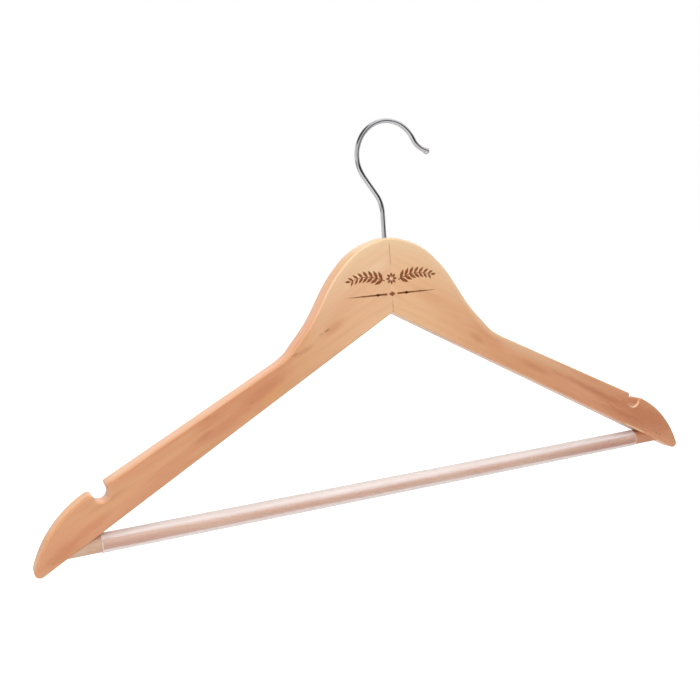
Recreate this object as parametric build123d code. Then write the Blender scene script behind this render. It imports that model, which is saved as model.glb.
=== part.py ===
from build123d import *
from math import atan2, cos, degrees, radians, sin, sqrt, tan
import os

# A wooden trouser hanger. All lengths are in millimetres and all angles in degrees.
# X runs along the arms, Y from the front of the board to its back, and Z is up.
# The origin is on the hook's turning axis, at the inside of the hook, where it rests on a rail.

# Board: two arms that meet at an upright glue line in the middle
overall_width = 440.0
board_thickness = 12.0
edge_rounding = 1.5
crown_height = 45.1
neck_run = 80.0
arm_depth = 19.45
shoulder_slope = 26.66
arm_flare = 2.18

# Neck curve, as (share of neck_run outwards, share of neck_drop down from the crown's top)
neck_shares = [(0.125, 0.026), (0.25, 0.084), (0.375, 0.191), (0.5, 0.354), (0.6875, 0.681), (0.8125, 0.844)]

# Tip of each arm: a long curve that touches the lip of the notch above it and the small toe below
tip_radius = 62.5
toe_radius = 3.0

# Strap notch in each shoulder: a round pocket, with a beak on the crown's side and a lip outside
notch_inset = 38.1
notch_radius = 4.2
notch_depth = 3.6
undercut_run = 3.05
beak_bluntness = 0.05
lip_radius = 2.4
lip_turn = 10.75

# Bar, let into blind holes in the undersides of the arms
bar_inset = 24.05
bar_cheek = 1.0
bar_seat = 12.0
bar_end_gap = 0.3

# Soft clear sleeve over the bar, which stops a little short of each arm
sleeve_wall = 0.5
sleeve_gap = 0.03
sleeve_end_gap = 1.9

# Hook: one bent wire with a ball on its free end
wire_diameter = 3.0
hook_reach = 66.6
shank_bend_radius = 19.65
shank_bend_turn = 34.5
neck_straight = 13.0
bow_radius = 20.85
bow_turn = 106.6
nose_radius = 19.5
nose_turn = 82.4
flare_radius = 13.35
flare_turn = 39.2
flare_straight = 2.64
ball_diameter = 4.2
shank_chamfer = 0.4
shank_end_gap = 0.5
turning_gap = 0.05

# Pin that holds the shank by its groove, driven in from the back
pin_diameter = 1.2
pin_cover = 2.0
pin_rise = 13.0
groove_depth = 0.5
groove_play = 0.2

# Hidden dowels across the glue line, with wood left between the upper one and the shank's hole
dowel_count = 2
dowel_diameter = 4.0
dowel_length = 20.0
dowel_rise = 6.0
dowel_pitch = 7.5
dowel_end_gap = 0.5
glue_gap = 0.05
wood_under_shank = 2.1

# Headless brads that hold the ends of the bar
brad_diameter = 1.0
brad_cover = 2.5
brad_inset = 5.1
brad_rise = 1.35
brad_pitch = 3.1
sunk_depth = 0.5

# How far a cut runs past the surface that it opens
overrun = 5.0

# Places that follow from the sizes above
half_width = overall_width / 2
half_board = board_thickness / 2
underside_slope = shoulder_slope + arm_flare
wire_radius = wire_diameter / 2
bar_radius = half_board - bar_cheek
brad_radius = brad_diameter / 2
dowel_radius = dowel_diameter / 2
pin_radius = pin_diameter / 2
crown_top = -hook_reach
apex = crown_top - crown_height
bar_mouth = half_width - bar_inset
bar_drop = bar_mouth * tan(radians(underside_slope))
bar_height = apex - bar_drop
bar_half_length = bar_mouth + bar_seat
sleeve_inner_radius = bar_radius + sleeve_gap
sleeve_outer_radius = sleeve_inner_radius + sleeve_wall
sleeve_half_length = bar_mouth - sleeve_outer_radius / tan(radians(underside_slope)) - sleeve_end_gap
brad_length = board_thickness - sunk_depth - brad_cover
top_dowel_height = apex + dowel_rise + (dowel_count - 1) * dowel_pitch
shank_hole_foot = top_dowel_height + dowel_radius + wood_under_shank
shank_foot = shank_hole_foot + shank_end_gap
shank_hole_radius = wire_radius + turning_gap
groove_height = pin_diameter + 2 * groove_play
groove_radius = wire_radius - groove_depth
pin_height = shank_foot + pin_rise
pin_offset = groove_radius + turning_gap + pin_radius
pin_length = board_thickness - sunk_depth - pin_cover


def heading(angle):
    """Unit vector in the plane of the board, at an angle up from +X."""
    return Vector(cos(radians(angle)), sin(radians(angle)))


def rod(radius, length, start, direction):
    """Solid round rod from a start point along a direction."""
    return extrude(Plane(start, z_dir=direction) * Circle(radius), amount=length)


def circles_meet(centre_a, radius_a, centre_b, radius_b):
    """Crossing point of two circles that lies to the right of the way from a to b."""
    way = centre_b - centre_a
    gap = way.length
    along = (radius_a**2 - radius_b**2 + gap**2) / (2 * gap)
    aside = sqrt(radius_a**2 - along**2)
    unit = way.normalized()
    return centre_a + unit * along + Vector(unit.Y, -unit.X) * aside


def arc_about(centre, start, end, through):
    """Arc about a centre that passes it on the side of the direction given last."""
    radius = (start - centre).length
    return ThreePointArc(start, centre + through.normalized() * radius, end)


def underside(place):
    """Height of the straight underside above the apex."""
    return -place * tan(radians(underside_slope))


def shoulder(place):
    """Height of the straight shoulder, extended, above the apex."""
    return underside(neck_run) + arm_depth - (place - neck_run) * tan(radians(shoulder_slope))


def neck_curve():
    """Crown and neck, from the glue line's top to where the shoulder runs straight."""
    neck_foot = Vector(neck_run, shoulder(neck_run))
    neck_drop = crown_height - neck_foot.Y
    points = [Vector(0, crown_height)]
    for run_share, drop_share in neck_shares:
        points.append(Vector(run_share * neck_run, crown_height - drop_share * neck_drop))
    points.append(neck_foot)
    return Spline(points, tangents=[heading(0), heading(-shoulder_slope)])


def arm_outline():
    """Outline of the right arm, outwards from the glue line and up from the apex."""
    down_shoulder = heading(-shoulder_slope)
    up_from_shoulder = heading(90 - shoulder_slope)
    out_of_underside = heading(-90 - underside_slope)
    apex_point = Vector(0, 0)
    neck = neck_curve()

    # Notch: the pocket, and the beak that overhangs it
    beak_radius = edge_rounding + beak_bluntness
    notch_place = half_width - notch_inset
    notch_height = shoulder(notch_place) - notch_depth / cos(radians(shoulder_slope))
    notch_centre = Vector(notch_place, notch_height)
    beak_reach = sqrt((notch_radius + beak_radius) ** 2 + undercut_run**2)
    beak_rise = notch_depth - beak_radius
    beak_lead = sqrt(beak_reach**2 - beak_rise**2)
    beak_centre = notch_centre + up_from_shoulder * beak_rise - down_shoulder * beak_lead
    beak_top = beak_centre + up_from_shoulder * beak_radius
    undercut_turn = degrees(atan2(undercut_run, notch_radius + beak_radius))
    undercut_side = (notch_centre - beak_centre).normalized().rotate(Axis.Z, undercut_turn)
    beak_foot = beak_centre + undercut_side * beak_radius
    pocket_start = notch_centre - undercut_side * notch_radius

    # Lip: a round on the pocket's outer side, and the toe: a round above the underside
    lip_way = heading(lip_turn - shoulder_slope)
    lip_foot = notch_centre + lip_way * notch_radius
    lip_centre = lip_foot + lip_way * lip_radius
    toe_place = half_width - toe_radius
    toe_centre = Vector(toe_place, underside(toe_place) + toe_radius / cos(radians(underside_slope)))
    toe_foot = toe_centre + out_of_underside * toe_radius

    # Tip: the long curve that touches both rounds from outside
    tip_centre = circles_meet(lip_centre, tip_radius - lip_radius, toe_centre, tip_radius - toe_radius)
    lip_out = (lip_centre - tip_centre).normalized()
    toe_out = (toe_centre - tip_centre).normalized()
    lip_top = lip_centre + lip_out * lip_radius
    toe_top = toe_centre + toe_out * toe_radius

    return Wire(
        [
            neck,
            Line(neck @ 1, beak_top),
            arc_about(beak_centre, beak_top, beak_foot, up_from_shoulder + undercut_side),
            Line(beak_foot, pocket_start),
            arc_about(notch_centre, pocket_start, lip_foot, up_from_shoulder * -1),
            arc_about(lip_centre, lip_foot, lip_top, lip_out - lip_way),
            arc_about(tip_centre, lip_top, toe_top, lip_out + toe_out),
            arc_about(toe_centre, toe_top, toe_foot, toe_out + out_of_underside),
            Line(toe_foot, apex_point),
            Line(apex_point, neck @ 0),
        ]
    )


def rounded_arm():
    """Right arm with its front and back edges rounded, except along the glue line."""
    face = Pos(0, 0, apex) * (Plane.XZ * make_face(arm_outline()))
    board = extrude(face, amount=half_board, both=True)
    rims = board.faces().sort_by(Axis.Y)[0].edges() + board.faces().sort_by(Axis.Y)[-1].edges()
    soft_rims = [edge for edge in rims if edge.center().X > edge_rounding]
    return fillet(soft_rims, edge_rounding)


def hook_path():
    """Middle line of the wire, from the shank's foot to the middle of the ball."""
    turn = radians(shank_bend_turn)
    side = (bow_radius + shank_bend_radius) * cos(turn) - shank_bend_radius - neck_straight * sin(turn)
    rise = (bow_radius + shank_bend_radius) * sin(turn) + neck_straight * cos(turn)
    bow_height = -sqrt((bow_radius - wire_radius) ** 2 - side**2)
    shank = Line((0, shank_foot), (0, bow_height - rise))
    bend = JernArc(shank @ 1, shank % 1, shank_bend_radius, shank_bend_turn)
    straight = PolarLine(bend @ 1, neck_straight, direction=bend % 1)
    bow = JernArc(straight @ 1, straight % 1, bow_radius, -bow_turn)
    nose = JernArc(bow @ 1, bow % 1, nose_radius, -nose_turn)
    flare = JernArc(nose @ 1, nose % 1, flare_radius, flare_turn)
    end = PolarLine(flare @ 1, flare_straight, direction=flare % 1)
    return Plane.XZ * Wire([shank, bend, straight, bow, nose, flare, end])


def make_hook():
    """Bent wire with its ball, and the groove in the shank that the pin runs in."""
    path = hook_path()
    wire = sweep(Plane(path @ 0, z_dir=path % 0) * Circle(wire_radius), path=path)
    wire = chamfer(wire.edges().sort_by(Axis.Z)[0], shank_chamfer)
    ball = Pos(path @ 1) * Sphere(ball_diameter / 2)
    groove_foot = Vector(0, 0, pin_height - groove_height / 2)
    collar = rod(wire_diameter, groove_height, groove_foot, (0, 0, 1))
    core = rod(groove_radius, groove_height, groove_foot, (0, 0, 1))
    return wire + ball - (collar - core)


def shank_hole():
    """Upright hole that the shank turns in, half of it in each arm."""
    start = Vector(0, 0, shank_hole_foot)
    return rod(shank_hole_radius, crown_top - shank_hole_foot + overrun, start, (0, 0, 1))


def hook_pin():
    """Pin beside the shank, through its groove, sunk a little into the back."""
    start = Vector(pin_offset, half_board - sunk_depth, pin_height)
    return rod(pin_radius, pin_length, start, (0, -1, 0))


def pin_hole():
    """Hole for that pin, open at the back."""
    start = Vector(pin_offset, half_board + overrun, pin_height)
    return rod(pin_radius, pin_length + sunk_depth + overrun, start, (0, -1, 0))


def dowels(radius, length):
    """The dowels across the glue line, or the holes for them."""
    pieces = []
    for number in range(dowel_count):
        height = apex + dowel_rise + number * dowel_pitch
        pieces.append(rod(radius, length, Vector(-length / 2, 0, height), (1, 0, 0)))
    return pieces


def brads(depth, length):
    """The brads at the right end, or their holes, from a depth under the front face."""
    half_step = heading(-underside_slope) * brad_pitch / 2
    pieces = []
    for side in (-1, 1):
        place = bar_half_length - brad_inset + side * half_step.X
        height = bar_height + brad_rise + side * half_step.Y
        pieces.append(rod(brad_radius, length, Vector(place, depth - half_board, height), (0, 1, 0)))
    return pieces


def other_end(pieces):
    """The same pieces at the left end, where they are driven in from the back."""
    return [Rot(0, 0, 180) * piece for piece in pieces]


def carve(body, tools):
    """Body with each of the tools cut out of it."""
    for tool in tools:
        body = body - tool
    return body


bar_hole = rod(
    bar_radius + glue_gap,
    2 * (bar_half_length + bar_end_gap),
    Vector(-bar_half_length - bar_end_gap, 0, bar_height),
    (1, 0, 0),
)
dowel_holes = dowels(dowel_radius + glue_gap, dowel_length + 2 * dowel_end_gap)
right_brads = brads(sunk_depth, brad_length)
left_brads = other_end(right_brads)
right_brad_holes = brads(-overrun, brad_length + sunk_depth + overrun)
left_brad_holes = other_end(right_brad_holes)

blank = rounded_arm()
right_arm = carve(blank, [shank_hole(), pin_hole(), bar_hole] + dowel_holes + right_brad_holes)
left_arm = carve(mirror(blank, Plane.YZ), [shank_hole(), bar_hole] + dowel_holes + left_brad_holes)

bar_start = Vector(-bar_half_length, 0, bar_height)
bar = rod(bar_radius, 2 * bar_half_length, bar_start, (1, 0, 0))
trouser_bar = carve(bar, right_brad_holes + left_brad_holes)

sleeve_start = Vector(-sleeve_half_length, 0, bar_height)
sleeve_body = rod(sleeve_outer_radius, 2 * sleeve_half_length, sleeve_start, (1, 0, 0))
grip_sleeve = sleeve_body - rod(sleeve_inner_radius, 2 * sleeve_half_length, sleeve_start, (1, 0, 0))

nodes = {
    "left_arm": left_arm,
    "right_arm": right_arm,
    "joint_dowels": Compound(children=dowels(dowel_radius, dowel_length)),
    "hook": make_hook(),
    "hook_pin": hook_pin(),
    "trouser_bar": trouser_bar,
    "grip_sleeve": grip_sleeve,
    "right_bar_brads": Compound(children=right_brads),
    "left_bar_brads": Compound(children=left_brads),
}

os.makedirs("parts", exist_ok=True)
for name, shape in nodes.items():
    export_step(shape, f"parts/{name}.step")
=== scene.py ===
from math import cos, pi, radians, sin

import bmesh
import bpy
from mathutils import Matrix, Vector


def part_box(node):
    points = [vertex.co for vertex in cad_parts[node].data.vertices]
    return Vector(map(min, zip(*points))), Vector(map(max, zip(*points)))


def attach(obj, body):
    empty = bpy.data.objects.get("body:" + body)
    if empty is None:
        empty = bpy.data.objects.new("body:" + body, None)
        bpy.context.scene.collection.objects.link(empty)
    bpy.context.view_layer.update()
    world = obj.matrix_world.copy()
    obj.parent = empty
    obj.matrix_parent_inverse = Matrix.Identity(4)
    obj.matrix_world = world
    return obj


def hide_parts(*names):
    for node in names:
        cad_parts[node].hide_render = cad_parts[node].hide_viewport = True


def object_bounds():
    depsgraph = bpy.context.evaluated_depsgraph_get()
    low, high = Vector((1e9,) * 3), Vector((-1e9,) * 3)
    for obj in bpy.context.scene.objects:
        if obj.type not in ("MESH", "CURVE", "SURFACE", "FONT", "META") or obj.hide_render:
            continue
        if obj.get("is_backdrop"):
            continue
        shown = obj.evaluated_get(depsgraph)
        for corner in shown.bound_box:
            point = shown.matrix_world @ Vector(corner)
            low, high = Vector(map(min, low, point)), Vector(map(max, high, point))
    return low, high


# A wooden trouser hanger, dressed: lacquered arms, a clear sleeve on the bar, a chromed hook
# and a burnt ornament on the crown. Lengths are in metres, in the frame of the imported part.

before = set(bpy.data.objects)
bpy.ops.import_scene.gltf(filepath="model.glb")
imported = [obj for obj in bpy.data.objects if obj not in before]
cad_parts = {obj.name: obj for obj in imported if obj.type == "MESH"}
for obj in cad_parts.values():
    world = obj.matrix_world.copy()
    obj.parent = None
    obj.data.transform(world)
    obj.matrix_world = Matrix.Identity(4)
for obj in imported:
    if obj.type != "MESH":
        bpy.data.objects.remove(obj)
cad_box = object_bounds()

MM = 0.001

# Places read from the frame
arm_low, arm_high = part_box("right_arm")
sleeve_low, sleeve_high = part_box("grip_sleeve")
front_face = arm_low.y
crown_top = arm_high.z
sleeve_reach = sleeve_high.x
bar_axis = (sleeve_low.z + sleeve_high.z) / 2
sleeve_radius = (sleeve_high.z - sleeve_low.z) / 2

# Sizes that the frame's boxes don't hold
apex_drop = 45.1 * MM
apex = crown_top - apex_drop
grain_slope = radians(27.75)


def srgb(red, green, blue):
    """A colour as it shows on a screen, from 0 to 255, in the renderer's linear values."""
    linear = []
    for level in (red, green, blue):
        share = level / 255
        linear.append(share / 12.92 if share <= 0.04045 else ((share + 0.055) / 1.055) ** 2.4)
    return (*linear, 1.0)


# Node trees

# Where a mix node has its two inputs and its result, by what it mixes
MIX_SOCKETS = {"RGBA": (6, 7, 2), "FLOAT": (2, 3, 0)}


class Graph:
    """The node tree of a material or the world, with short ways to add and link nodes."""

    def __init__(self, owner):
        owner.use_nodes = True
        self.tree = owner.node_tree
        self.tree.nodes.clear()

    def feed(self, socket, value):
        """Links a socket where the value is another socket, and sets it otherwise."""
        if isinstance(value, bpy.types.NodeSocket):
            self.tree.links.new(value, socket)
        else:
            socket.default_value = value

    def node(self, kind, settings=None, **inputs):
        """Adds a node with its properties, and feeds its inputs by their names."""
        made = self.tree.nodes.new(kind)
        for key, value in (settings or {}).items():
            setattr(made, key, value)
        for key, value in inputs.items():
            self.feed(made.inputs[key.replace("_", " ")], value)
        return made

    def feed_in_order(self, node, values):
        for socket, value in zip(node.inputs, values):
            self.feed(socket, value)

    def math(self, operation, *values, clamp=False):
        made = self.node("ShaderNodeMath", {"operation": operation, "use_clamp": clamp})
        self.feed_in_order(made, values)
        return made.outputs["Value"]

    def times(self, *values):
        product = values[0]
        for value in values[1:]:
            product = self.math("MULTIPLY", product, value)
        return product

    def place(self):
        """Coordinates in the part's own frame."""
        return self.node("ShaderNodeTexCoord").outputs["Object"]

    def parts(self, vector):
        """A vector's x, y and z."""
        split = self.node("ShaderNodeSeparateXYZ", Vector=vector)
        return split.outputs["X"], split.outputs["Y"], split.outputs["Z"]

    def length(self, vector):
        made = self.node("ShaderNodeVectorMath", {"operation": "LENGTH"})
        self.feed(made.inputs[0], vector)
        return made.outputs["Value"]

    def within(self, vector, middle=(0, 0, 0), turn=0.0, size=(1, 1, 1)):
        """Coordinates as seen from a box with this middle, turn about Y, and half size."""
        made = self.node(
            "ShaderNodeMapping",
            {"vector_type": "TEXTURE"},
            Vector=vector,
            Location=middle,
            Rotation=(0, turn, 0),
            Scale=size,
        )
        return made.outputs["Vector"]

    def noise(self, vector, grain, detail=2.0, roughness=0.5, distortion=0.0, start=0.0):
        """Noise from 0 to 1, with grains of the given size in x, y and z."""
        made = self.node(
            "ShaderNodeTexNoise",
            {"noise_dimensions": "4D"},
            Vector=self.within(vector, size=grain),
            W=start,
            Scale=1.0,
            Detail=detail,
            Roughness=roughness,
            Distortion=distortion,
        )
        return made.outputs["Fac"]

    def ramp(self, value, low, high, to_low=0.0, to_high=1.0):
        """A value taken smoothly from one range to another, and held at its ends."""
        made = self.node("ShaderNodeMapRange", {"interpolation_type": "SMOOTHSTEP"}, Value=value)
        ends = {"From Min": low, "From Max": high, "To Min": to_low, "To Max": to_high}
        for key, end in ends.items():
            self.feed(made.inputs[key], end)
        return made.outputs["Result"]

    def curve(self, value, points):
        """A value taken through a smooth curve, which its points from 0 to 1 give."""
        made = self.node("ShaderNodeFloatCurve", Value=value)
        line = made.mapping.curves[0]
        line.points[0].location, line.points[-1].location = points[0], points[-1]
        for point in points[1:-1]:
            line.points.new(*point)
        made.mapping.update()
        return made.outputs["Value"]

    def mix(self, share, first, second, data_type="RGBA"):
        """Two colours or plain values mixed by a share from 0 to 1."""
        made = self.node("ShaderNodeMix", {"data_type": data_type}, Factor=share)
        first_input, second_input, result = MIX_SOCKETS[data_type]
        self.feed(made.inputs[first_input], first)
        self.feed(made.inputs[second_input], second)
        return made.outputs[result]

    def bump(self, height, depth, strength=1.0, under=None):
        made = self.node("ShaderNodeBump", Height=height, Distance=depth, Strength=strength)
        if under is not None:
            self.feed(made.inputs["Normal"], under)
        return made.outputs["Normal"]

    def rays(self):
        """1 or 0 for each kind of ray, by names such as Is Shadow Ray."""
        return self.node("ShaderNodeLightPath").outputs

    def seen(self, rays):
        """1 for what the camera sees, also through something clear."""
        return self.math("ADD", rays["Is Camera Ray"], rays["Is Transmission Ray"], clamp=True)

    def principled(self, **inputs):
        return self.node("ShaderNodeBsdfPrincipled", **inputs).outputs["BSDF"]

    def join(self, kind, *values):
        """Two shaders, added or mixed."""
        made = self.node(kind)
        self.feed_in_order(made, values)
        return made.outputs["Shader"]

    def show(self, shader, output="ShaderNodeOutputMaterial"):
        """Ends the tree with what its surface shows."""
        self.node(output, Surface=shader)


def new_material(name):
    material = bpy.data.materials.new(name)
    return material, Graph(material)


# Wood

# Each arm's own wood: at the crown, then further out in three tints that lie side by side
LEFT_WOOD = (srgb(244, 196, 153), srgb(217, 151, 109), srgb(221, 163, 116), srgb(210, 139, 98))
RIGHT_WOOD = (srgb(246, 197, 151), srgb(223, 155, 112), srgb(226, 163, 115), srgb(213, 138, 96))
WARM = srgb(206, 131, 91)
# Latewood's colour, which also paints the shade low on the bar
LATEWOOD_AND_SHADE = srgb(184, 112, 72)
RUST = srgb(198, 118, 72)
LIGHT_LINE = srgb(232, 170, 128)
FLECK = srgb(138, 78, 46)
GLUE = srgb(164, 106, 66)
PALE_SEAM = srgb(244, 208, 168)
# The colour of painted highlights on the arms' edges, crown, rounding and right notch
HIGHLIGHT_TINT = srgb(250, 218, 178)
ORANGE = srgb(228, 160, 92)
AMBER = srgb(204, 150, 90)
NOTCH_SHADE = srgb(160, 100, 66)

# Turned and burnt wood: each in two tints
BAR_WOOD = (srgb(222, 191, 166), srgb(207, 163, 134))
DOWEL_WOOD = (srgb(226, 196, 160), srgb(206, 166, 124))
BURNT_WOOD = (srgb(126, 68, 32), srgb(162, 98, 54))

# Long soft marks on each arm: middle as x and height over the apex, slope down the arm in
# degrees, half length and half width, all in millimetres, then colour and strength.
LEFT_MARKS = (
    (-40.0, -5.0, 28, 13.0, 4.0, WARM, 0.4),
    # A painted highlight on the crown's upper part
    (-25.0, 22.0, 40, 16.0, 3.0, HIGHLIGHT_TINT, 0.25),
    (-44.2, -6.0, 30, 3.0, 0.9, FLECK, 0.75),
    (-47.9, -8.0, 25, 2.2, 0.7, FLECK, 0.35),
    (-65.0, -17.9, 24, 3.4, 0.8, FLECK, 0.5),
    (-59.0, -16.4, 24, 9.0, 1.8, LATEWOOD_AND_SHADE, 0.35),
    (-94.2, -42.1, 27, 2.4, 0.8, FLECK, 0.4),
    (-88.0, -38.0, 30, 26.0, 5.5, WARM, 0.7),
    (-112.0, -54.0, 28, 24.0, 5.0, WARM, 0.6),
    (-120.1, -47.2, 27, 3.0, 0.6, FLECK, 0.3),
    (-122.5, -56.8, 27, 9.0, 2.2, LATEWOOD_AND_SHADE, 0.35),
    (-178.0, -83.0, 26, 16.0, 2.2, LATEWOOD_AND_SHADE, 0.28),
    (-190.0, -97.0, 30, 20.0, 3.0, WARM, 0.7),
    (-183.7, -95.8, 27, 1.6, 0.6, FLECK, 0.22),
    (-186.7, -97.3, 27, 1.2, 0.6, FLECK, 0.2),
    (-209.9, -112.3, 27, 1.2, 0.6, FLECK, 0.35),
    (-204.0, -107.5, 30, 15.0, 6.0, RUST, 0.55),
    (-190.0, -94.0, 30, 13.0, 5.0, ORANGE, 0.15),
    (-120.0, -49.5, 27, 14.0, 3.0, RUST, 0.35),
    (-80.0, -39.0, 28, 13.0, 4.0, ORANGE, 0.35),
    # A painted highlight on the crown's upper part
    (-9.0, 28.0, 20, 13.0, 4.0, HIGHLIGHT_TINT, 0.45),
    # Paler round the notch
    (-181.9, -79.8, 0, 7.0, 7.0, PALE_SEAM, 0.3),
)
RIGHT_MARKS = (
    (24.0, 8.0, 34, 20.0, 5.0, WARM, 0.18),
    (57.5, -21.8, 40, 9.0, 3.0, LATEWOOD_AND_SHADE, 0.3),
    (100.0, -46.0, 30, 18.0, 2.6, LATEWOOD_AND_SHADE, 0.3),
    (148.0, -68.5, 29, 36.0, 2.6, LATEWOOD_AND_SHADE, 0.55),
    (118.0, -52.0, 33, 11.0, 1.1, LATEWOOD_AND_SHADE, 0.3),
    (136.0, -65.8, 32.5, 29.0, 0.55, LIGHT_LINE, 0.6),
    (176.0, -89.5, 28, 25.0, 2.4, LATEWOOD_AND_SHADE, 0.65),
    (194.0, -94.0, 28, 48.0, 13.0, RUST, 0.8),
    (160.0, -76.0, 29, 22.0, 6.0, RUST, 0.4),
    (174.0, -91.0, 28.8, 40.0, 4.2, RUST, 0.5),
    (82.0, -33.0, 28, 16.0, 5.0, LIGHT_LINE, 0.8),
    (46.0, -2.0, 40, 12.0, 5.0, ORANGE, 0.3),
)

# The marks' outlines: how far noise moves them, and their fade, both in half sizes
mark_raggedness = 0.9
MARK_FADE = (1.5, 0.6)

# The arms' upper edge from the middle outwards: x and height over the apex, in millimetres
UPPER_EDGE = (
    (0, 45.1),
    (10, 43.3),
    (20, 39.2),
    (30, 31.8),
    (40, 20.4),
    (47.5, 8.7),
    (55, -2.3),
    (65, -13.7),
    (80, -24.6),
    (160, -64.8),
)

# The grains of the wood's noises: along it, into it and across it
BROAD_GRAIN = (70 * MM, 22 * MM, 22 * MM)
TONGUE_GRAIN = (85 * MM, 9 * MM, 7 * MM)
RAGGED_GRAIN = (7 * MM, 1.2 * MM, 1.2 * MM)
FIBRE_GRAIN = (16 * MM, 0.7 * MM, 0.7 * MM)
PORE_GRAIN = (4 * MM, 0.3 * MM, 0.3 * MM)
RING_DRIFT_GRAIN = (150 * MM, 40 * MM, 40 * MM)
BAR_BROAD_GRAIN = (60 * MM, 16 * MM, 16 * MM)
BAR_FIBRE_GRAIN = (22 * MM, 0.7 * MM, 0.7 * MM)
BURNT_GRAIN = (2.5 * MM, 0.6 * MM, 0.5 * MM)

# Growth rings: each darkens slowly over its width and ends quickly, and a trunk tapers
RING_DARKENS = (0.3, 0.85)
RING_ENDS = (1.0, 0.88)
trunk_taper = 0.05

# Every fade below goes from the place where it is 0 to the place where it is full. Two more
# numbers, where there are any, are the shares at those places.

# Fades along the arms, by the distance from the middle
CROWN_FADE = (92 * MM, 0.0, 0.0, 0.92)
HALO_HIGHLIGHT_FADE = (62 * MM, 34 * MM, 0.0, 0.4)
SHOULDER_RISE = (14 * MM, 28 * MM, 0.45, 0.75)
SHOULDER_DROP = (30 * MM, 60 * MM, 1.0, 0.5)
SHOULDER_END = (92 * MM, 52 * MM)
AMBER_TO_WARM = (22 * MM, 54 * MM)
OUTER_ARM_START = (62 * MM, 100 * MM)
OUTER_ARM_END = (178 * MM, 172 * MM)
NOTCH_START = (172 * MM, 176 * MM)
NOTCH_END = (192 * MM, 187 * MM)
TIP_FADE = (184 * MM, 202 * MM)

# Fades down from the upper edge, for its painted highlight. On each arm the highlight's rim
# reaches out to its own distance from the middle, and it is full over a share of that.
HALO_HIGHLIGHT_DEPTH = (24 * MM, 6 * MM)
RIM_HIGHLIGHT_DEPTH = (8 * MM, 1 * MM)
highlight_full_share = 0.4
left_highlight_reach = 60 * MM
right_highlight_reach = 175 * MM

# How strong the painted highlights and painted shade of the edges and the sides, and the
# tints of the glue line, are where they are full
rim_highlight_tint = 0.5
outer_arm_highlight_tint = 0.22
notch_wall_shade_tint = 0.5
notch_rim_highlight_tint = 0.8
tip_shade_tint = 0.6
dark_seam_tint = 0.5
light_seam_tint = 0.35

# Painted light and shade fade over the rounded edges, by how squarely a place faces front or back
SIDE_FACE = (0.85, 0.4)
ROUNDING = (0.98, 0.8)
NOTCH_WALL = (0.45, 0.15)
NOTCH_RIM_START = (0.99, 0.9)
NOTCH_RIM_END = (0.4, 0.6)

# The painted highlight on the right notch's rim shows low down, by the height over the apex
NOTCH_RIM_HEIGHT = (-80.5 * MM, -82.5 * MM)

# The glue line: it is pale about the middle of the crown's height and dark beyond, up to the
# rounded top. Then the fades over the half widths of the dark line and of the pale one.
seam_middle = 18 * MM
SEAM_DARKENS = (6 * MM, 14 * MM)
SEAM_TOP = (42.5 * MM, 40.5 * MM)
DARK_SEAM = (0.5 * MM, 0.12 * MM)
LIGHT_SEAM = (1.3 * MM, 0.4 * MM)
SEAM_GRAIN = (5 * MM, 5 * MM, 5 * MM)


def below_edge(g, from_middle, height):
    """How far a point lies below the arm's upper edge."""
    reach, low = UPPER_EDGE[-1]
    span = UPPER_EDGE[0][1] - low
    points = [(x / reach, (rise - low) / span) for x, rise in UPPER_EDGE]
    edge = g.curve(g.math("DIVIDE", from_middle, reach * MM), points)
    edge = g.math("ADD", g.times(edge, span * MM), low * MM)
    return g.math("SUBTRACT", edge, height)


def growth_rings(g, grain, pith_depth, pith_drop, pitch, wander):
    """Rings about a pith line along the grain, as a sawn board shows them: 1 at the dark line."""
    drift = g.noise(grain, RING_DRIFT_GRAIN)
    drift = g.times(g.math("SUBTRACT", drift, 0.5), wander)
    along, depth, across = g.parts(grain)
    across = g.math("ADD", g.math("ADD", across, drift), pith_drop)
    depth = g.math("ADD", depth, pith_depth)
    square = g.math("ADD", g.times(across, across), g.times(depth, depth))
    # The taper makes the rings leave the face in long tongues
    radius = g.math("ADD", g.math("SQRT", square), g.times(along, trunk_taper))
    share = g.math("FRACT", g.math("DIVIDE", radius, pitch))
    return g.times(g.ramp(share, *RING_DARKENS), g.ramp(share, *RING_ENDS))


def soft_mark(g, place, ragged, x, height, slope, half_length, half_width):
    """How far a point lies in a long mark with ragged ends: 1 in its middle, 0 outside."""
    middle = (x * MM, 0, apex + height * MM)
    turn = radians(slope if x > 0 else -slope)
    inside = g.within(place, middle, turn, (half_length * MM, 1, half_width * MM))
    reach = g.math("ADD", g.length(inside), g.times(ragged, mark_raggedness))
    return g.ramp(reach, *MARK_FADE)


def board_figure(g, grain, from_middle, fibres, side, wood):
    """The tints of one arm's wood, with its growth rings, fibres and pores."""
    crown_tint, middle_tint, honey_tint, warm_tint = wood
    broad = g.noise(grain, BROAD_GRAIN, start=side)
    tongues = g.noise(grain, TONGUE_GRAIN, distortion=0.6, start=3.5 + side)
    pores = g.noise(grain, PORE_GRAIN, detail=1.0)
    rings = growth_rings(
        g,
        grain,
        pith_depth=22 * MM,
        pith_drop=side * 9 * MM + 141 * MM,
        pitch=5.6 * MM,
        wander=17 * MM,
    )
    colour = g.mix(g.ramp(broad, 0.35, 0.65), middle_tint, honey_tint)
    colour = g.mix(g.ramp(tongues, 0.52, 0.64, 0.0, 0.4), colour, warm_tint)
    colour = g.mix(g.ramp(from_middle, *CROWN_FADE), colour, crown_tint)
    colour = g.mix(g.ramp(tongues, 0.4, 0.5, 0.1, 0.0), colour, LIGHT_LINE)
    colour = g.mix(g.times(rings, g.ramp(broad, 0.3, 0.7, 0.02, 0.09)), colour, LATEWOOD_AND_SHADE)
    colour = g.mix(g.ramp(fibres, 0.5, 0.8, 0.0, 0.2), colour, LATEWOOD_AND_SHADE)
    return g.mix(g.ramp(pores, 0.66, 0.8, 0.0, 0.12), colour, FLECK)


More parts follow.
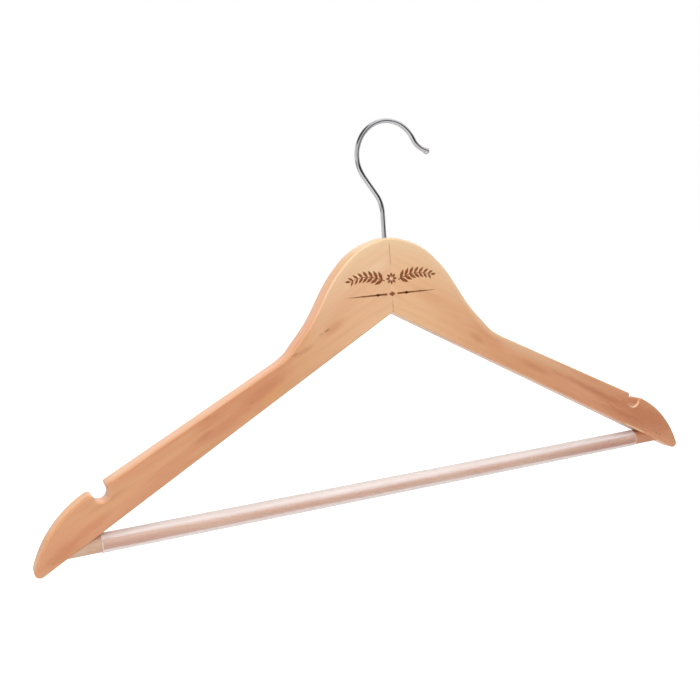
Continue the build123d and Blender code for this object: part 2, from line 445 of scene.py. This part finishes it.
def painted_edge_highlight(g, colour, from_middle, height, highlight_reach):
    """Painted highlight along the upper edge: a soft halo on the crown and a narrow rim beyond."""
    below = below_edge(g, from_middle, height)
    halo = g.times(g.ramp(below, *HALO_HIGHLIGHT_DEPTH), g.ramp(from_middle, *HALO_HIGHLIGHT_FADE))
    colour = g.mix(halo, colour, HIGHLIGHT_TINT)
    along = g.ramp(from_middle, highlight_reach, highlight_reach * highlight_full_share)
    return g.mix(g.times(g.ramp(below, *RIM_HIGHLIGHT_DEPTH), along, rim_highlight_tint), colour, HIGHLIGHT_TINT)


def painted_side_light(g, colour, x, from_middle, height):
    """Painted light and shade on the board's sides: painted shade in amber on the shoulders, orange
    at the tips, brown in the right notch; painted highlights on the arms and the notch's rim."""
    _, facing, _ = g.parts(g.node("ShaderNodeTexCoord").outputs["Normal"])
    facing = g.math("ABSOLUTE", facing)
    side_face = g.ramp(facing, *SIDE_FACE)

    # Painted shade on the sides of the shoulders
    shoulder_shade_tint = g.mix(g.ramp(from_middle, *AMBER_TO_WARM), AMBER, WARM)
    shoulder_shade = g.times(
        g.ramp(from_middle, *SHOULDER_RISE),
        g.ramp(from_middle, *SHOULDER_DROP),
        g.ramp(from_middle, *SHOULDER_END),
    )
    colour = g.mix(g.times(side_face, shoulder_shade), colour, shoulder_shade_tint)

    # A painted highlight on the rounding along the arms
    outer_arm_highlight = g.times(
        g.ramp(facing, *ROUNDING),
        g.ramp(from_middle, *OUTER_ARM_START),
        g.ramp(from_middle, *OUTER_ARM_END),
    )
    colour = g.mix(g.times(outer_arm_highlight, outer_arm_highlight_tint), colour, HIGHLIGHT_TINT)

    # Painted shade on the right notch's wall, and a painted highlight on its rim
    right_notch = g.times(g.ramp(x, *NOTCH_START), g.ramp(x, *NOTCH_END))
    notch_wall_shade = g.times(g.ramp(facing, *NOTCH_WALL), right_notch)
    colour = g.mix(g.times(notch_wall_shade, notch_wall_shade_tint), colour, NOTCH_SHADE)
    notch_rim_highlight = g.times(
        g.ramp(facing, *NOTCH_RIM_START),
        g.ramp(facing, *NOTCH_RIM_END),
        right_notch,
        g.ramp(height, *NOTCH_RIM_HEIGHT),
    )
    colour = g.mix(g.times(notch_rim_highlight, notch_rim_highlight_tint), colour, HIGHLIGHT_TINT)

    # Painted shade on the sides at the tips
    tip_shade = g.times(side_face, g.ramp(from_middle, *TIP_FADE))
    return g.mix(g.times(tip_shade, tip_shade_tint), colour, ORANGE)


def glue_line(g, colour, place, from_middle, height):
    """The glue line: dark at the top of the crown and at the apex, pale between."""
    thin = g.noise(place, SEAM_GRAIN)
    from_seam_middle = g.math("ABSOLUTE", g.math("SUBTRACT", height, seam_middle))
    dark_part = g.times(g.ramp(from_seam_middle, *SEAM_DARKENS), g.ramp(height, *SEAM_TOP))
    line = g.times(g.ramp(from_middle, *DARK_SEAM), g.ramp(thin, 0.2, 0.6, 0.4, 1.0))
    colour = g.mix(g.times(line, dark_part, dark_seam_tint), colour, GLUE)
    pale_part = g.math("SUBTRACT", 1.0, dark_part)
    pale_line = g.ramp(from_middle, *LIGHT_SEAM)
    return g.mix(g.times(pale_line, pale_part, light_seam_tint), colour, PALE_SEAM)


def lacquer(g, colour, fibres, ragged):
    """Satin lacquer over wood, which keeps a little of the grain in its surface."""
    normal = g.bump(fibres, depth=0.03 * MM, strength=0.4)
    normal = g.bump(ragged, depth=0.12 * MM, strength=0.3, under=normal)
    shader = g.principled(
        Base_Color=colour,
        Roughness=g.ramp(fibres, 0.3, 0.8, 0.38, 0.5),
        Normal=normal,
        Coat_Weight=0.45,
        Coat_Roughness=0.16,
    )
    g.show(shader)


def arm_wood(name, side, wood, highlight_reach, marks):
    """Lacquered wood whose grain runs down one arm. Side is 1 on the right and -1 on the left."""
    material, g = new_material(name)
    place = g.place()
    grain = g.within(place, turn=side * grain_slope)
    x, _, z = g.parts(place)
    from_middle = g.math("ABSOLUTE", x)
    height = g.math("SUBTRACT", z, apex)
    ragged = g.noise(grain, RAGGED_GRAIN, detail=3.0, start=side)
    fibres = g.noise(grain, FIBRE_GRAIN, detail=3.0, roughness=0.6)

    colour = board_figure(g, grain, from_middle, fibres, side, wood)
    for *shape, shade, strength in marks:
        share = g.times(soft_mark(g, place, ragged, *shape), strength)
        colour = g.mix(share, colour, shade)
    colour = painted_edge_highlight(g, colour, from_middle, height, highlight_reach)
    colour = painted_side_light(g, colour, x, from_middle, height)
    colour = glue_line(g, colour, place, from_middle, height)
    lacquer(g, colour, fibres, ragged)
    return material


# Painted shade on the bar: darker near the ends of the sleeve, more so on the right, and low down
BAR_SHADED = (90 * MM, 178 * MM)
BAR_SHADED_RIGHT = (0, 150 * MM, 0.6, 0.9)
BAR_LOWER = (bar_axis + 2 * MM, bar_axis - 0.5 * MM)
UNDER_SLEEVE = (sleeve_reach + 0.3 * MM, sleeve_reach - 0.3 * MM)
shade_width = 6 * MM


def turned_wood(name, tints, shaded_from=1.0):
    """Bare turned wood, with its grain along the bar. Painted shade makes it darker low down near
    the ends of the sleeve, and browner beyond a place in x."""
    material, g = new_material(name)
    pale, dark = tints
    place = g.place()
    rings = growth_rings(
        g, place, pith_depth=21 * MM, pith_drop=235 * MM, pitch=1.9 * MM, wander=5 * MM
    )
    fibres = g.noise(place, BAR_FIBRE_GRAIN, detail=3.0, roughness=0.6)
    broad = g.noise(place, BAR_BROAD_GRAIN)
    colour = g.mix(g.ramp(broad, 0.3, 0.7), pale, dark)
    colour = g.mix(g.times(rings, 0.3), colour, dark)
    colour = g.mix(g.ramp(fibres, 0.5, 0.8, 0.0, 0.25), colour, LATEWOOD_AND_SHADE)

    x, _, z = g.parts(place)
    from_middle = g.math("ABSOLUTE", x)
    bar_shade = g.times(
        g.ramp(from_middle, *BAR_SHADED),
        g.ramp(x, *BAR_SHADED_RIGHT),
        g.ramp(from_middle, *UNDER_SLEEVE),
        g.ramp(z, *BAR_LOWER),
    )
    # Painted shade near the ends of the sleeve, low down
    colour = g.mix(bar_shade, colour, LATEWOOD_AND_SHADE)
    # Painted shade: browner beyond a place in x
    right_end_shade = g.ramp(x, shaded_from, shaded_from + shade_width, 0.0, 0.8)
    colour = g.mix(right_end_shade, colour, WARM)

    shader = g.principled(
        Base_Color=colour,
        Roughness=g.ramp(fibres, 0.2, 0.8, 0.55, 0.7),
        Normal=g.bump(fibres, depth=0.05 * MM, strength=0.6),
    )
    g.show(shader)
    return material


def burnt_wood(name):
    """Wood burnt brown by a hot tool, with lighter fibres left in it."""
    material, g = new_material(name)
    fibres = g.noise(g.place(), BURNT_GRAIN, detail=3.0, roughness=0.65)
    shader = g.principled(
        Base_Color=g.mix(g.ramp(fibres, 0.35, 0.75), *BURNT_WOOD),
        Roughness=0.7,
        Normal=g.bump(fibres, depth=0.08 * MM, strength=0.6),
    )
    g.show(shader)
    return material


# Clear plastic and metal

CLEAR_TINT = srgb(238, 224, 218)
MILK_TINT = srgb(247, 238, 236)
# The colour of the sleeve's painted shade at its rims
SHADED_RIM_TINT = srgb(218, 213, 209)
LAMPLIGHT_TINT = srgb(250, 240, 236)
CHROME = srgb(204, 203, 206)
DULL_STEEL = srgb(150, 142, 134)

CLOUD_GRAIN = (28 * MM, 4 * MM, 4 * MM)
SCRATCH_GRAIN = (1 * MM, 1 * MM, 4 * MM)
FILM_GRAIN = (8 * MM, 8 * MM, 8 * MM)

# The sleeve's two milky strips, a painted highlight above and painted bounce light below: each
# fades in by the height from the axis, in radii, from its foot to where it is full. The feet move
# away from the axis over a stretch of the sleeve's half.
upper_highlight_full = 0.75
lower_bounce_full = -0.6
HIGHLIGHT_FOOT = (60 * MM, 185 * MM, 0.0, 0.38)
BOUNCE_FOOT = (60 * MM, 185 * MM, -0.12, -0.3)

# The strips' greyer rims, which are painted shade, and the denser crest: for each a fade by the
# height from the axis, in radii, and one by the distance from the middle. Then the frosted ends.
SHADED_RIM = (0.78, 0.98)
SHADED_RIM_END = (80 * MM, 150 * MM, 0.8, 0.0)
CREST = (0.45, 0.8)
CREST_START = (110 * MM, 170 * MM)
crest_density = 0.22
CUT_END = (sleeve_reach - 0.8 * MM, sleeve_reach - 0.3 * MM)
cut_end_milk = 0.6

# How much the film on metal dims it
film_dimming = 0.88


def clear_sleeve(name):
    """Soft clear plastic, milkier above and below, most of all near its middle: a painted highlight
    above, painted bounce light below, with painted shade at their rims. It is frosted at its cut
    ends, and it lets lamplight through."""
    material, g = new_material(name)
    place = g.place()
    x, _, z = g.parts(place)
    cloud = g.noise(place, CLOUD_GRAIN)
    from_axis = g.math("DIVIDE", g.math("SUBTRACT", z, bar_axis), sleeve_radius)
    from_middle = g.math("ABSOLUTE", x)

    # A painted highlight above the axis and painted bounce light below it, as milkier plastic
    upper_highlight = g.ramp(from_axis, g.ramp(from_middle, *HIGHLIGHT_FOOT), upper_highlight_full)
    lower_bounce = g.ramp(from_axis, g.ramp(from_middle, *BOUNCE_FOOT), lower_bounce_full)
    strips = g.math("MAXIMUM", upper_highlight, lower_bounce)
    frost_and_light = g.times(strips, g.ramp(cloud, 0.3, 0.7, 0.76, 0.9))
    cut_end = g.times(g.ramp(from_middle, *CUT_END), cut_end_milk)
    frost_and_light = g.math("MAXIMUM", frost_and_light, cut_end)
    # Painted shade: greyer at the top and bottom rims near the middle
    rim = g.ramp(g.math("ABSOLUTE", from_axis), *SHADED_RIM)
    rim = g.times(rim, g.ramp(from_middle, *SHADED_RIM_END))
    milk_tint = g.mix(rim, MILK_TINT, SHADED_RIM_TINT)

    # The arms shade the sleeve's top near its ends, so a denser crest keeps it as pale there
    crest = g.times(g.ramp(from_axis, *CREST), g.ramp(from_middle, *CREST_START))
    density = g.ramp(frost_and_light, 0.0, 1.0, 0.18, 0.75)
    plastic = g.principled(
        Base_Color=g.mix(frost_and_light, CLEAR_TINT, milk_tint),
        Roughness=g.ramp(cloud, 0.2, 0.8, 0.2, 0.3),
        Alpha=g.math("ADD", density, g.times(crest, crest_density)),
        IOR=1.45,
    )
    rays = g.rays()
    lit = g.math("MAXIMUM", rays["Is Shadow Ray"], rays["Is Diffuse Ray"])
    clear = g.node("ShaderNodeBsdfTransparent", Color=LAMPLIGHT_TINT).outputs["BSDF"]
    g.show(g.join("ShaderNodeMixShader", lit, plastic, clear))
    return material


def polished_metal(name, colour, roughness, scratch_depth):
    """Metal with faint polishing marks and a patchy film."""
    material, g = new_material(name)
    place = g.place()
    marks = g.noise(place, SCRATCH_GRAIN, detail=3.0, roughness=0.6)
    film = g.noise(place, FILM_GRAIN)
    dimmed = (*(film_dimming * level for level in colour[:3]), 1.0)
    shader = g.principled(
        Base_Color=g.mix(g.ramp(film, 0.3, 0.7), colour, dimmed),
        Metallic=1.0,
        Roughness=g.ramp(film, 0.2, 0.8, roughness * 0.8, roughness * 1.3),
        Normal=g.bump(marks, depth=scratch_depth, strength=0.3),
    )
    g.show(shader)
    return material


# Objects


def add_object(name, data):
    """Puts a new object into the scene."""
    made = bpy.data.objects.new(name, data)
    bpy.context.scene.collection.objects.link(made)
    return made


def add_closed_mesh(name, bm):
    """Makes an object of a built mesh, with its faces turned outwards."""
    bmesh.ops.recalc_face_normals(bm, faces=bm.faces)
    mesh = bpy.data.meshes.new(name)
    bm.to_mesh(mesh)
    bm.free()
    return add_object(name, mesh)


# The sleeve as it is drawn: a smooth tube that stands just clear of the wood

tube_wall = 0.43 * MM
tube_edge = 0.12 * MM
tube_end = 1.0 * MM
tube_sides = 96


def tube(name, half_length, radius, height):
    """A tube along x whose cut edges are a little rounded."""
    bore = radius - tube_wall
    section = [
        (half_length - tube_end, radius),
        (half_length - tube_edge, radius),
        (half_length, radius - tube_edge),
        (half_length, bore + tube_edge),
        (half_length - tube_edge, bore),
        (half_length - tube_end, bore),
    ]
    section += [(-x, reach) for x, reach in reversed(section)]
    bm = bmesh.new()
    rings = []
    for number in range(tube_sides):
        angle = 2 * pi * number / tube_sides
        ring = [(x, reach * cos(angle), height + reach * sin(angle)) for x, reach in section]
        rings.append([bm.verts.new(corner) for corner in ring])
    for ring, after in zip(rings, rings[1:] + rings[:1]):
        for number in range(len(section)):
            step = (number + 1) % len(section)
            face = bm.faces.new((ring[number], ring[step], after[step], after[number]))
            face.smooth = True
    return add_closed_mesh(name, bm)


# Burnt ornament on the crown: a flower between two leafy sprigs, over a tapered rule

burn_thickness = 0.06 * MM
burn_sink = 0.03 * MM

sprig_height = apex + 19.6 * MM
sprig_start = 4.6 * MM
sprig_reach = 27.0 * MM
sprig_rise = 3.2 * MM
sprig_arch = 0.86
stem_half_width = 0.34 * MM
stem_taper = 0.7
stem_steps = 24

leaf_count = 7
leaf_length = 6.2 * MM
leaf_half_width = 1.05 * MM
leaf_lean = radians(44)
leaf_steps = 9
# How much fuller a leaf is near its foot than a sine, and how fast that falls towards its point
leaf_fullness = 1.25
leaf_narrowing = 0.5
# Shares of the stem: the first pair of leaves, the way from there to the last, and a step ahead
# that shows which way the stem goes
first_leaf = 0.06
leaf_span = 0.86
step_ahead = 0.02
# How much smaller a leaf at the stem's end would be, and the size of the one that ends it
leaf_shrink = 0.4
end_leaf_length = 0.6
end_leaf_width = 0.7

petal_count = 8
petal_length = 2.9 * MM
petal_half_width = 0.75 * MM
flower_rise = 1.0 * MM
flower_eye = 0.9 * MM

rule_height = apex + 11.4 * MM
rule_start = 3.4 * MM
rule_reach = 30.0 * MM
rule_half_width = 0.6 * MM
rule_taper = 0.6
rule_steps = 12

lozenge_half_length = 2.2 * MM
lozenge_half_height = 1.5 * MM
lozenge_pitch = 9.6 * MM
lozenge_count = 3
lozenge_shrink = 0.3


def leaf(foot, angle, length, half_width):
    """The outline of a pointed leaf that starts at its foot and points along the angle. It is
    widest a little before its middle."""
    along = Vector((cos(angle), sin(angle)))
    aside = Vector((-along.y, along.x))
    shares = [step / leaf_steps for step in range(leaf_steps + 1)]
    swells = []
    for share in shares:
        fullness = leaf_fullness - leaf_narrowing * share
        swells.append(half_width * sin(pi * share) * fullness)
    upper = [foot + along * share * length + aside * swell for share, swell in zip(shares, swells)]
    lower = [foot + along * share * length - aside * swell for share, swell in zip(shares, swells)]
    return upper + lower[-2:0:-1]


def stroke(middle, half_widths):
    """The outline of a stroke along a line of points, with a half width at each."""
    upper, lower = [], []
    for number, (point, half_width) in enumerate(zip(middle, half_widths)):
        before = middle[max(number - 1, 0)]
        after = middle[min(number + 1, len(middle) - 1)]
        along = (after - before).normalized()
        aside = Vector((-along.y, along.x)) * half_width
        upper.append(point + aside)
        lower.append(point - aside)
    return upper + lower[::-1]


def lozenge(middle, size):
    """The outline of a lozenge on the rule."""
    along = Vector((lozenge_half_length * size, 0))
    upward = Vector((0, lozenge_half_height * size))
    return [middle + along, middle + upward, middle - along, middle - upward]


def sprig_point(side, share):
    """A place on a sprig's stem, which arches from the flower out to its end."""
    x = sprig_start + share * (sprig_reach - sprig_start)
    return Vector((side * x, sprig_height + sprig_rise * sin(pi * share * sprig_arch)))


def sprig(side):
    """One sprig: its stem, its pairs of leaves and the leaf at its end."""
    shares = [step / stem_steps for step in range(stem_steps + 1)]
    stem = [sprig_point(side, share) for share in shares]
    yield stroke(stem, [stem_half_width * (1 - stem_taper * share) for share in shares])
    for number in range(leaf_count):
        share = first_leaf + leaf_span * number / (leaf_count - 1)
        foot = sprig_point(side, share)
        ahead = sprig_point(side, share + step_ahead) - foot
        heading = -Vector((1, 0)).angle_signed(ahead)
        size = 1 - leaf_shrink * share
        for turn in (leaf_lean, -leaf_lean):
            yield leaf(foot, heading + turn, leaf_length * size, leaf_half_width * size)
    heading = 0 if side > 0 else pi
    end = sprig_point(side, 1.0)
    yield leaf(end, heading, leaf_length * end_leaf_length, leaf_half_width * end_leaf_width)


def rule_half(side):
    """One half of the rule, thickest near the middle, with smaller lozenges further out."""
    shares = [step / rule_steps for step in range(rule_steps + 1)]
    span = rule_reach - rule_start
    line = [Vector((side * (rule_start + share * span), rule_height)) for share in shares]
    yield stroke(line, [rule_half_width * (1 - share) ** rule_taper for share in shares])
    for number in range(1, lozenge_count):
        middle = Vector((side * number * lozenge_pitch, rule_height))
        yield lozenge(middle, 1 - lozenge_shrink * number)


def flower(middle):
    """A ring of petals about an open eye."""
    for number in range(petal_count):
        angle = 2 * pi * number / petal_count
        foot = middle + Vector((cos(angle), sin(angle))) * flower_eye
        yield leaf(foot, angle, petal_length, petal_half_width)


def ornament_outlines():
    """Every stroke of the ornament, as outlines in x and z."""
    for side in (1, -1):
        yield from sprig(side)
        yield from rule_half(side)
    yield from flower(Vector((0, sprig_height + flower_rise)))
    yield lozenge(Vector((0, rule_height)), 1)


def burnt_strokes(name, outlines):
    """Thin slabs half sunk into the front face, one for each outline."""
    bm = bmesh.new()
    for outline in outlines:
        front = [bm.verts.new((p.x, front_face + burn_sink - burn_thickness, p.y)) for p in outline]
        back = [bm.verts.new((p.x, front_face + burn_sink, p.y)) for p in outline]
        bm.faces.new(front)
        bm.faces.new(back[::-1])
        for number in range(len(outline)):
            after = (number + 1) % len(outline)
            bm.faces.new((front[number], back[number], back[after], front[after]))
    return add_closed_mesh(name, bm)


# The pieces


def dress(node, material):
    """Gives a node of the frame its material."""
    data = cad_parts[node].data
    data.materials.clear()
    data.materials.append(material)


dress("left_arm", arm_wood("left_arm_wood", -1, LEFT_WOOD, left_highlight_reach, LEFT_MARKS))
dress("right_arm", arm_wood("right_arm_wood", 1, RIGHT_WOOD, right_highlight_reach, RIGHT_MARKS))
# The bar's right end, out from under the sleeve, is browner with painted shade
dress("trouser_bar", turned_wood("bar_wood", BAR_WOOD, shaded_from=sleeve_reach - 5 * MM))
dress("joint_dowels", turned_wood("dowel_wood", DOWEL_WOOD))
dress("hook", polished_metal("hook_chrome", CHROME, 0.09, 0.002 * MM))
pin_steel = polished_metal("pin_steel", DULL_STEEL, 0.35, 0.01 * MM)
for node in ("hook_pin", "left_bar_brads", "right_bar_brads"):
    dress(node, pin_steel)

sleeve = tube("sleeve_tube", sleeve_reach, sleeve_radius, bar_axis)
sleeve.data.materials.append(clear_sleeve("clear_sleeve"))
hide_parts("grip_sleeve")
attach(sleeve, "hanger_body")

ornament = burnt_strokes("burnt_ornament", ornament_outlines())
ornament.data.materials.append(burnt_wood("burnt_wood"))
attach(ornament, "hanger_body")


# Camera, where the photo was taken from: about a point near the middle of the board

aim_point = Vector((-27.8 * MM, 0, -131.8 * MM))
camera_distance = 551.4 * MM
camera_azimuth = radians(-23.88)
camera_elevation = radians(7.515)
camera_roll = radians(-4.071)
camera_lens = 47.22
sensor_width = 36.0


def add_camera():
    flat = cos(camera_elevation)
    back = Vector(
        (sin(camera_azimuth) * flat, -cos(camera_azimuth) * flat, sin(camera_elevation))
    )
    level = Vector((cos(camera_azimuth), sin(camera_azimuth), 0))
    upright = back.cross(level)
    right = level * cos(camera_roll) + upright * sin(camera_roll)
    up = upright * cos(camera_roll) - level * sin(camera_roll)
    data = bpy.data.cameras.new("camera")
    data.lens = camera_lens
    data.sensor_width = sensor_width
    camera = add_object("camera", data)
    turn = Matrix((right, up, back)).transposed().to_4x4()
    camera.matrix_world = Matrix.Translation(aim_point + back * camera_distance) @ turn
    bpy.context.scene.camera = camera


# Floor, world and lamps

floor_height = -0.33
floor_half_width = 6.0
floor_front = -0.9
floor_back = 6.0
floor_white = srgb(228, 228, 228)
# The floor's glow for the camera grows to full white with the distance from the origin
floor_glow = 0.6
FLOOR_GLOW_GROWS = (0.6, 1.4)
floor_glow_in_gloss = 0.15
ambient = 0.4

# Each lamp's name, place, point that it looks at, size and watts
LAMPS = (
    ("overhead", (-0.2, -0.05, 0.9), (0, 0, crown_top), 0.7, 8.3),
    ("key", (-0.45, -0.85, 0.3), (-0.05, 0, crown_top), 0.5, 4.1),
    ("back", (0.3, 0.9, 0.1), (0, 0, apex), 0.6, 1.8),
)


def add_floor():
    """A white floor below the tips, which glows for the camera like the world behind it."""
    mesh = bpy.data.meshes.new("floor")
    corners = [
        (-floor_half_width, floor_front, floor_height),
        (floor_half_width, floor_front, floor_height),
        (floor_half_width, floor_back, floor_height),
        (-floor_half_width, floor_back, floor_height),
    ]
    mesh.from_pydata(corners, [], [(0, 1, 2, 3)])
    floor = add_object("floor", mesh)
    material, g = new_material("floor_white")
    rays = g.rays()
    glow = g.ramp(g.length(g.place()), *FLOOR_GLOW_GROWS, floor_glow, 1.0)
    mirrored = g.times(rays["Is Glossy Ray"], floor_glow_in_gloss)
    strength = g.math("ADD", g.times(g.seen(rays), glow), mirrored)
    white = g.node("ShaderNodeEmission", Strength=strength).outputs["Emission"]
    plain = g.node("ShaderNodeBsdfDiffuse", Color=floor_white).outputs["BSDF"]
    g.show(g.join("ShaderNodeAddShader", white, plain))
    mesh.materials.append(material)
    floor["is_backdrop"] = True


def light_world():
    """White where it is seen, and an even grey for soft light. Gloss shows a studio with pale
    walls, which is dark before the object and at the ceiling on its left, and has a skylight on
    its right."""
    world = bpy.data.worlds.new("studio")
    bpy.context.scene.world = world
    g = Graph(world)
    rays = g.rays()
    x, y, z = g.parts(g.node("ShaderNodeTexCoord").outputs["Generated"])
    before = g.ramp(y, 0.15, -0.1)
    over_floor = g.ramp(z, -0.5, -0.35)
    under_slant = g.ramp(g.math("SUBTRACT", z, g.times(x, 0.35)), 0.1, -0.04)
    short_of_right = g.ramp(g.math("SUBTRACT", x, g.times(z, 0.4)), 0.88, 0.76)
    short_of_left = g.ramp(x, -0.5, -0.35)
    front = g.times(before, over_floor, under_slant, short_of_right, short_of_left)
    ceiling = g.times(g.ramp(x, -0.05, -0.25), g.ramp(z, 0.42, 0.6))
    dark = g.math("MAXIMUM", g.times(front, 0.93), g.times(ceiling, 0.85))
    skylight = g.times(g.ramp(x, 0.1, 0.25), g.ramp(z, 0.4, 0.9), 0.5)
    walls = g.math("ADD", g.ramp(y, -0.4, 0.1, 0.8, 1.0), skylight)
    reflected = g.times(walls, g.math("SUBTRACT", 1.0, dark))
    unseen = g.mix(rays["Is Glossy Ray"], ambient, reflected, "FLOAT")
    strength = g.math("MAXIMUM", unseen, g.seen(rays))
    background = g.node("ShaderNodeBackground", Color=(1, 1, 1, 1), Strength=strength)
    g.show(background.outputs["Background"], "ShaderNodeOutputWorld")


def add_lamp(name, place, aim, size, watts):
    """A square soft lamp that looks at a point, and that gloss doesn't show."""
    data = bpy.data.lights.new(name, "AREA")
    data.shape = "SQUARE"
    data.size = size
    data.energy = watts
    lamp = add_object(name, data)
    lamp.location = place
    lamp.rotation_euler = (Vector(aim) - Vector(place)).to_track_quat("-Z", "Y").to_euler()
    lamp.visible_glossy = False


add_camera()
add_floor()
light_world()
for lamp in LAMPS:
    add_lamp(*lamp)

bpy.context.scene.view_settings.view_transform = "Standard"

visual_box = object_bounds()
boxes = {"cad": cad_box, "visual": visual_box}
{name: [list(corner) for corner in box] for name, box in boxes.items()}
